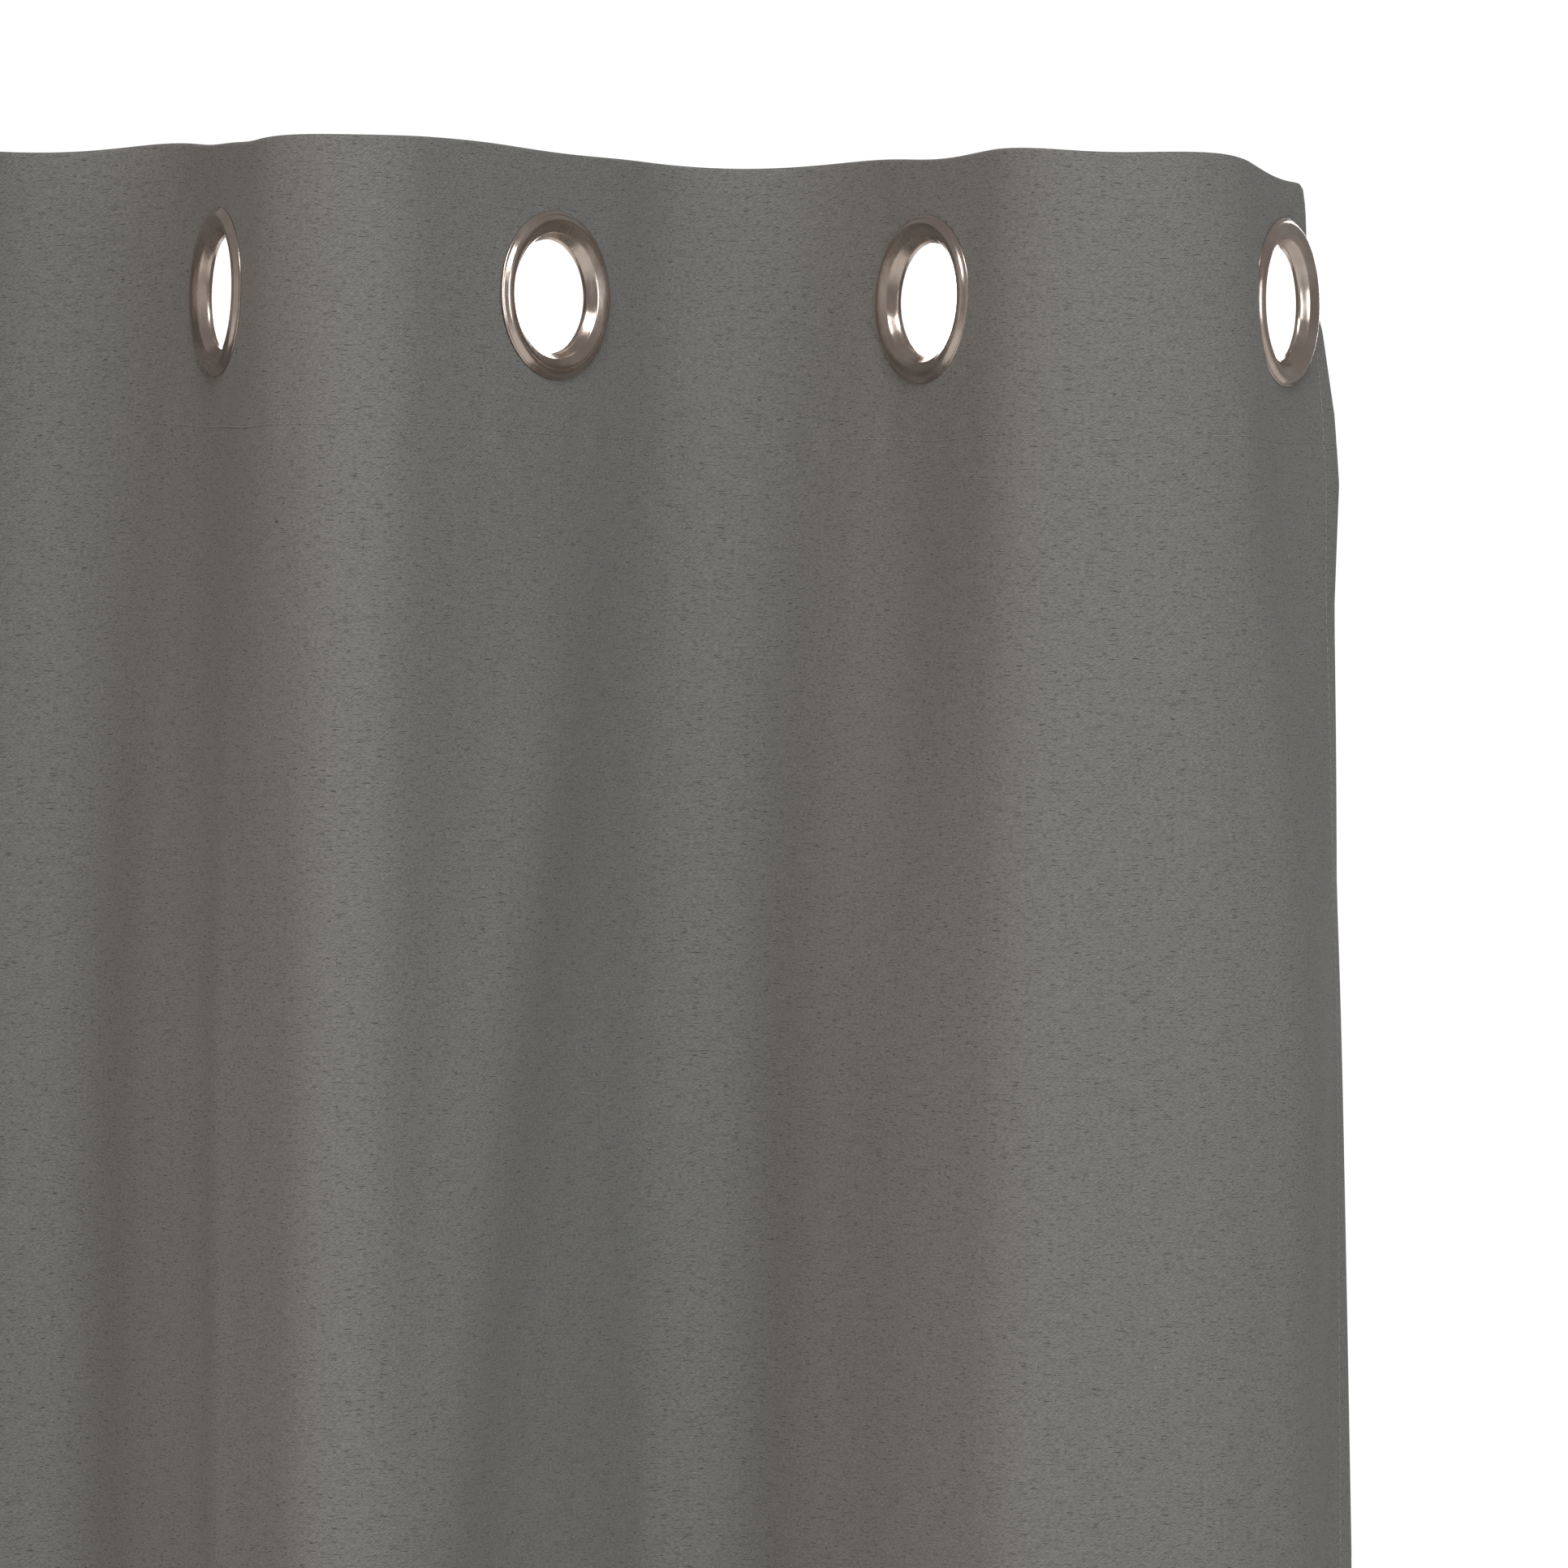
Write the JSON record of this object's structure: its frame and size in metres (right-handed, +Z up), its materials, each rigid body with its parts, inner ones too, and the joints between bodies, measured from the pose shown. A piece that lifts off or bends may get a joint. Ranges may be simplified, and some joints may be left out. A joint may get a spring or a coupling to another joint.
{
  "type": "fabric room curtain panel",
  "caption": "Full-length eyelet curtain panel in grey linen-look cloth, hanging in deep even waves, with metal rings through a stiffened header for a round rod.",
  "frame": {"origin": "on the rod line through the eyelet centres, midway between the first and last eyelets", "axes": "+X along the rod, left to right from the room; -Y faces the room; +Z up"},
  "size_m": [0.9253, 0.1317, 2.45],
  "materials": {
    "cloth": "matt linen-look weave",
    "stiffener": "plain",
    "eyelet_metal": "polished nickel"
  },
  "bodies": {
    "side_hem_left": {"side_hem_left": "cloth"},
    "fold_1": {"cloth_1": "cloth", "stiffener_1": "stiffener", "eyelet_front_1": "eyelet_metal", "eyelet_back_1": "eyelet_metal"},
    "fold_2": {"cloth_2": "cloth", "stiffener_2": "stiffener", "eyelet_front_2": "eyelet_metal", "eyelet_back_2": "eyelet_metal"},
    "fold_3": {"cloth_3": "cloth", "stiffener_3": "stiffener", "eyelet_front_3": "eyelet_metal", "eyelet_back_3": "eyelet_metal"},
    "fold_4": {"cloth_4": "cloth", "stiffener_4": "stiffener", "eyelet_front_4": "eyelet_metal", "eyelet_back_4": "eyelet_metal"},
    "fold_5": {"cloth_5": "cloth", "stiffener_5": "stiffener", "eyelet_front_5": "eyelet_metal", "eyelet_back_5": "eyelet_metal"},
    "fold_6": {"cloth_6": "cloth", "stiffener_6": "stiffener", "eyelet_front_6": "eyelet_metal", "eyelet_back_6": "eyelet_metal"},
    "fold_7": {"cloth_7": "cloth", "stiffener_7": "stiffener", "eyelet_front_7": "eyelet_metal", "eyelet_back_7": "eyelet_metal"},
    "fold_8": {"cloth_8": "cloth", "stiffener_8": "stiffener", "eyelet_front_8": "eyelet_metal", "eyelet_back_8": "eyelet_metal", "side_hem_right": "cloth"}
  },
  "joints": [
    {"name": "gather", "type": "hinge", "parent": "side_hem_left", "child": "fold_1", "pos_m": [-0.45611, 0.02708, 0], "axis": [0, 0, -1], "range_deg": [-6, 24]},
    {"name": "crease_1", "type": "hinge", "parent": "fold_1", "child": "fold_2", "pos_m": [-0.37961, -0.06273, 0], "axis": [0, 0, 1], "range_deg": [-12, 48]},
    {"name": "crease_2", "type": "hinge", "parent": "fold_2", "child": "fold_3", "pos_m": [-0.25155, 0.05834, 0], "axis": [0, 0, -1], "range_deg": [-12, 48]},
    {"name": "crease_3", "type": "hinge", "parent": "fold_3", "child": "fold_4", "pos_m": [-0.12107, -0.06105, 0], "axis": [0, 0, 1], "range_deg": [-12, 48]},
    {"name": "crease_4", "type": "hinge", "parent": "fold_4", "child": "fold_5", "pos_m": [0.00417, 0.06252, 0], "axis": [0, 0, -1], "range_deg": [-12, 48]},
    {"name": "crease_5", "type": "hinge", "parent": "fold_5", "child": "fold_6", "pos_m": [0.12363, -0.06519, 0], "axis": [0, 0, 1], "range_deg": [-12, 48]},
    {"name": "crease_6", "type": "hinge", "parent": "fold_6", "child": "fold_7", "pos_m": [0.24886, 0.05899, 0], "axis": [0, 0, -1], "range_deg": [-12, 48]},
    {"name": "crease_7", "type": "hinge", "parent": "fold_7", "child": "fold_8", "pos_m": [0.37852, -0.06113, 0], "axis": [0, 0, 1], "range_deg": [-12, 48]}
  ],
  "couplings": [
    {"joint": "crease_1", "follows": "gather", "ratio": 2},
    {"joint": "crease_2", "follows": "gather", "ratio": 2},
    {"joint": "crease_3", "follows": "gather", "ratio": 2},
    {"joint": "crease_4", "follows": "gather", "ratio": 2},
    {"joint": "crease_5", "follows": "gather", "ratio": 2},
    {"joint": "crease_6", "follows": "gather", "ratio": 2},
    {"joint": "crease_7", "follows": "gather", "ratio": 2}
  ]
}
